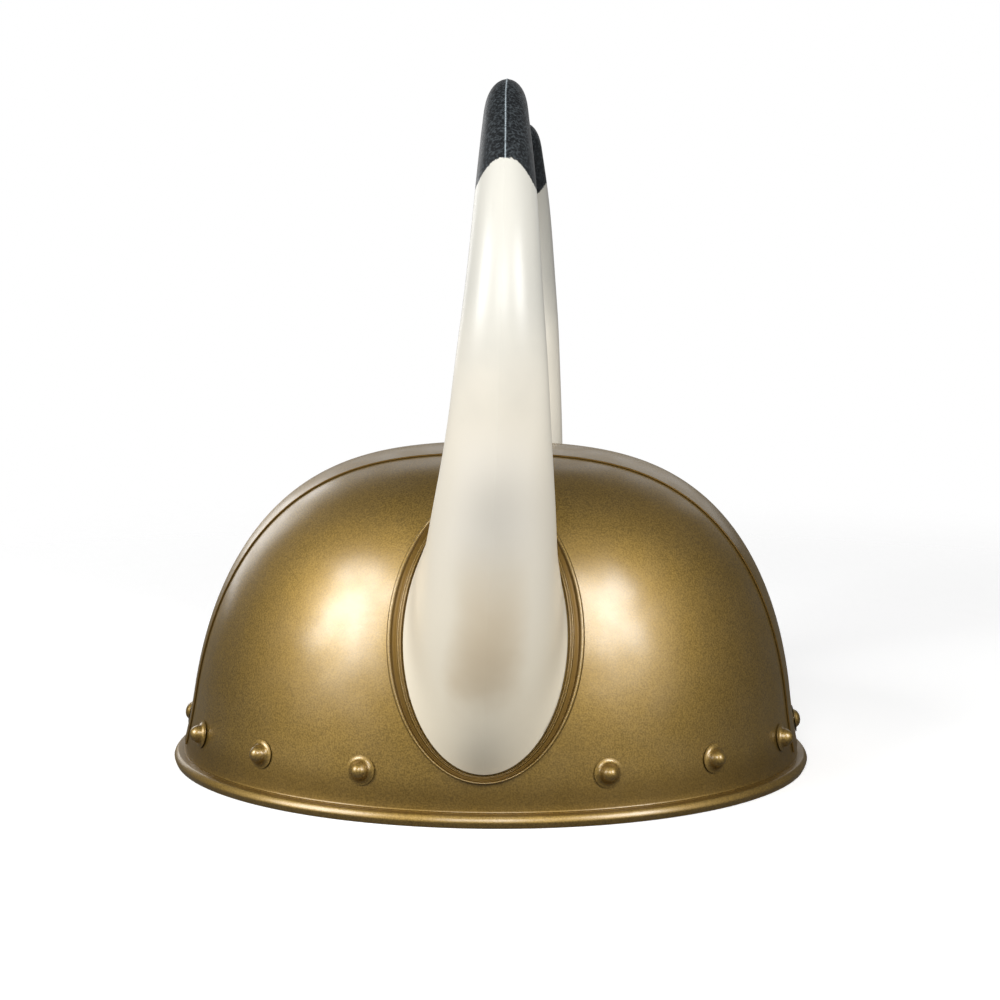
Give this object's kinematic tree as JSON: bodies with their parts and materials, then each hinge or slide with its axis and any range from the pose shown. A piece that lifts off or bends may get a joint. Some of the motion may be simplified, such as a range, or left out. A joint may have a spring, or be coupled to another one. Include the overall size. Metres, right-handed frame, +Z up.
{
  "type": "horned costume helmet",
  "caption": "Gold plastic costume helmet with a rolled rim, a crown band, domed rivets and hollow ivory horns with black tips.",
  "frame": {"origin": "middle of the rim's flat underside, in the plane that the helmet rests on", "axes": "+X to the front of the helmet, +Y to the wearer's left, +Z up through the crown"},
  "size_m": [0.2602, 0.366, 0.2651],
  "materials": {
    "gold_spray": "satin metallic gold spray",
    "ivory_plastic": "smooth gloss, with a black grained paint on the tip"
  },
  "bodies": {
    "root": {"helmet_shell": "gold_spray", "crown_band": "gold_spray", "horn_collar_left": "gold_spray", "horn_collar_right": "gold_spray", "rivet_01": "gold_spray", "rivet_02": "gold_spray", "rivet_03": "gold_spray", "rivet_04": "gold_spray", "rivet_05": "gold_spray", "rivet_06": "gold_spray", "rivet_07": "gold_spray", "rivet_08": "gold_spray", "rivet_09": "gold_spray", "rivet_10": "gold_spray", "rivet_11": "gold_spray", "rivet_12": "gold_spray", "rivet_13": "gold_spray", "rivet_14": "gold_spray", "horn_left": "ivory_plastic", "horn_right": "ivory_plastic"}
  },
  "joints": []
}
